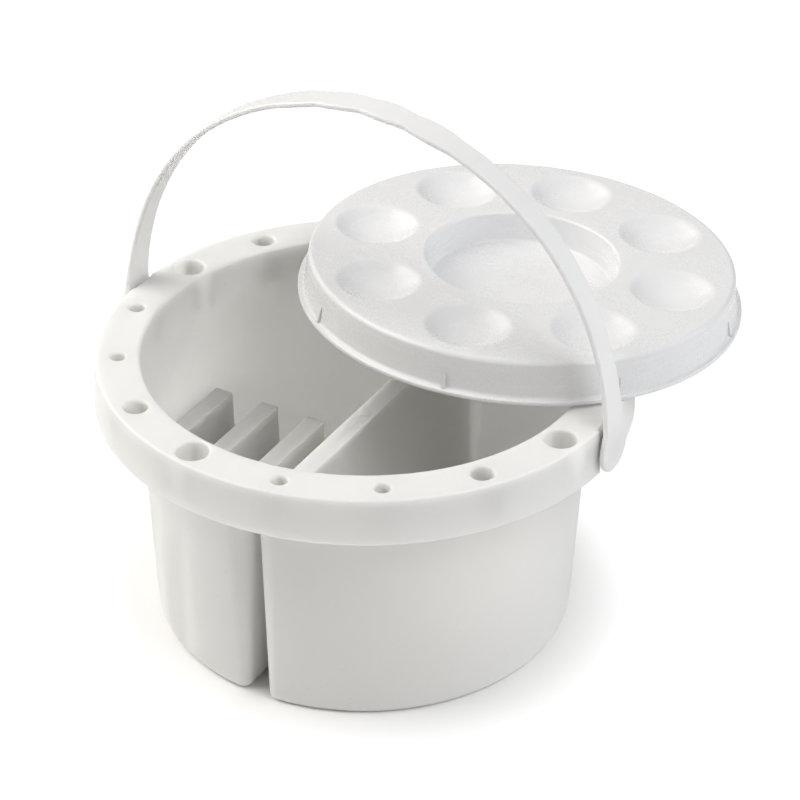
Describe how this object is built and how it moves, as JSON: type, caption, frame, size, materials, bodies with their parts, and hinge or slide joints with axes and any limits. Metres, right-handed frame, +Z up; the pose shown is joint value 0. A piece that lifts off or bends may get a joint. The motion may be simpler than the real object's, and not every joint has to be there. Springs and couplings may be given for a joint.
{
  "type": "brush washer",
  "caption": "Round plastic brush washer: a tub divided into two cups, scrub ribs, a rim of brush sockets, a swinging bail handle and a palette lid lying askew on the rim.",
  "frame": {"origin": "on the surface that the tub stands on, under the middle of the box round the whole set, lid included; the tub's own axis is 5.9 mm towards -X and 25.5 mm towards -Y from it", "axes": "+Z up; X along the handle's studs, +X towards the stud at the right in the picture; +Y along the divider, towards the side where the lid overhangs"},
  "size_m": [0.2192, 0.2532, 0.2101],
  "materials": {
    "tub_plastic": "warm white, satin, smooth moulded",
    "handle_plastic": "slightly cool, faintly translucent white, satin",
    "lid_plastic": "cool white, glossy"
  },
  "bodies": {
    "tub": {"tub": "tub_plastic"},
    "handle": {"handle": "handle_plastic"},
    "palette_lid": {"palette_lid": "lid_plastic"}
  },
  "joints": [
    {"name": "handle_swing", "type": "hinge", "parent": "tub", "child": "handle", "pos_m": [-0.00592, -0.02551, 0.1], "axis": [1, 0, 0], "range_deg": [-30, 126]},
    {"name": "lid_off", "type": "slide", "parent": "tub", "child": "palette_lid", "axis": [0, 0.9659, 0.2588], "range_m": [0, 0.17]}
  ]
}
